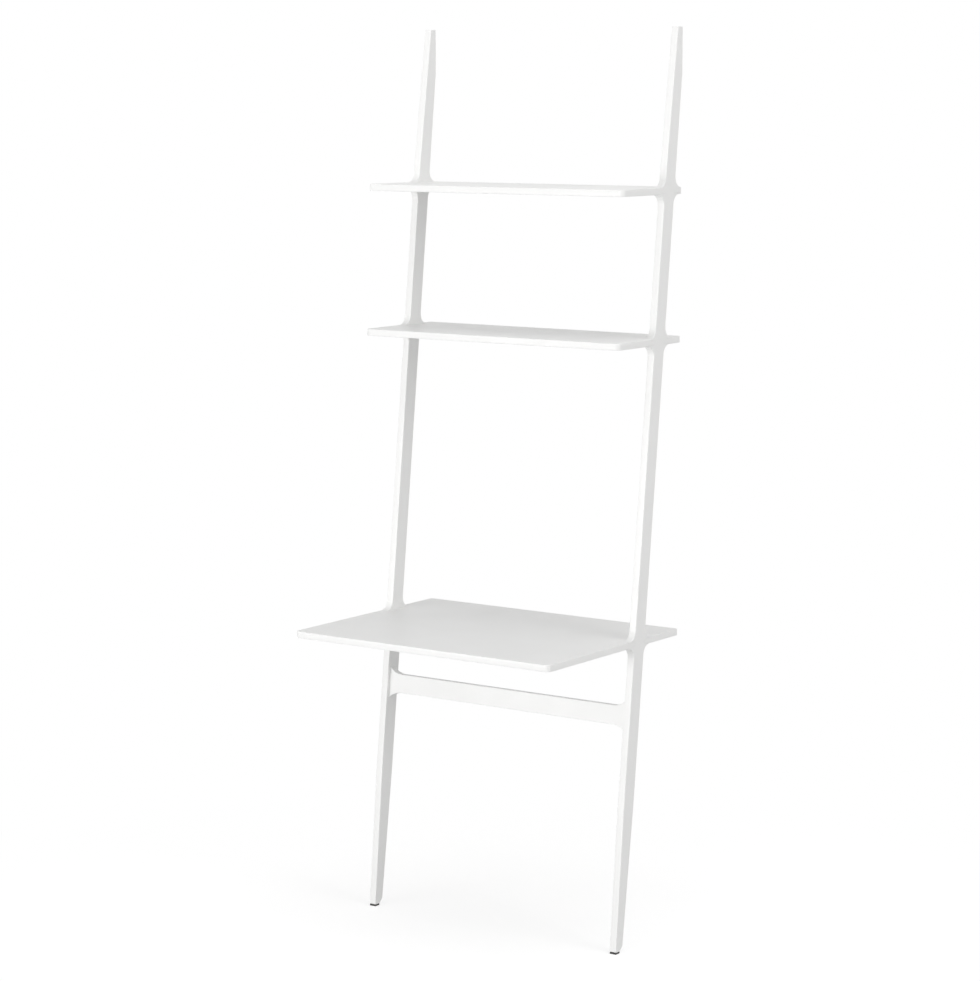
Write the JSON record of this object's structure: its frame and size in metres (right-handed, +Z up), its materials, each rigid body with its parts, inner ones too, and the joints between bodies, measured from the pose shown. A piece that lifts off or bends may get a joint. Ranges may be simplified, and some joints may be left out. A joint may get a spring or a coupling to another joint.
{
  "type": "leaning ladder desk",
  "caption": "White lacquered ladder desk that leans on a wall, with a deep desk top, shallow shelves above it and a flared rail between slim tapered uprights.",
  "frame": {"origin": "on the floor, half way along the desk and half way from the desk top's front edge to the wall", "axes": "+X along the desk to the sitter's right, +Y towards the wall, +Z up"},
  "size_m": [0.724, 0.548, 2.148],
  "materials": {
    "white_lacquer": "sprayed satin lacquer",
    "black_rubber": "matt moulded",
    "zinc_steel": "zinc plated",
    "zinc_casting": "die-cast zinc alloy, tumbled",
    "beech": "planed, unfinished"
  },
  "bodies": {
    "frame": {"left_upright": "white_lacquer", "right_upright": "white_lacquer", "desk_top": "white_lacquer", "lower_shelf": "white_lacquer", "upper_shelf": "white_lacquer", "cross_rail": "white_lacquer", "left_foot_pad": "black_rubber", "right_foot_pad": "black_rubber", "desk_cam_bolts": "zinc_steel", "lower_shelf_cam_bolts": "zinc_steel", "upper_shelf_cam_bolts": "zinc_steel", "keyhole_plate_screws": "zinc_steel", "keyhole_plates": "zinc_steel", "rail_tenons": "beech"},
    "desk_left_cam_body": {"desk_left_cam": "zinc_casting"},
    "desk_right_cam_body": {"desk_right_cam": "zinc_casting"},
    "lower_shelf_left_cam_body": {"lower_shelf_left_cam": "zinc_casting"},
    "lower_shelf_right_cam_body": {"lower_shelf_right_cam": "zinc_casting"},
    "upper_shelf_left_cam_body": {"upper_shelf_left_cam": "zinc_casting"},
    "upper_shelf_right_cam_body": {"upper_shelf_right_cam": "zinc_casting"}
  },
  "joints": [
    {"name": "desk_left_cam_turn", "type": "hinge", "parent": "frame", "child": "desk_left_cam_body", "pos_m": [-0.32, 0.10555, 0.719], "axis": [0, 0, -1], "range_deg": [0, 180]},
    {"name": "desk_right_cam_turn", "type": "hinge", "parent": "frame", "child": "desk_right_cam_body", "pos_m": [0.32, 0.10555, 0.719], "axis": [0, 0, -1], "range_deg": [0, 180]},
    {"name": "lower_shelf_left_cam_turn", "type": "hinge", "parent": "frame", "child": "lower_shelf_left_cam_body", "pos_m": [-0.32, 0.18374, 1.416], "axis": [0, 0, -1], "range_deg": [0, 180]},
    {"name": "lower_shelf_right_cam_turn", "type": "hinge", "parent": "frame", "child": "lower_shelf_right_cam_body", "pos_m": [0.32, 0.18374, 1.416], "axis": [0, 0, -1], "range_deg": [0, 180]},
    {"name": "upper_shelf_left_cam_turn", "type": "hinge", "parent": "frame", "child": "upper_shelf_left_cam_body", "pos_m": [-0.32, 0.22266, 1.763], "axis": [0, 0, -1], "range_deg": [0, 180]},
    {"name": "upper_shelf_right_cam_turn", "type": "hinge", "parent": "frame", "child": "upper_shelf_right_cam_body", "pos_m": [0.32, 0.22266, 1.763], "axis": [0, 0, -1], "range_deg": [0, 180]}
  ]
}
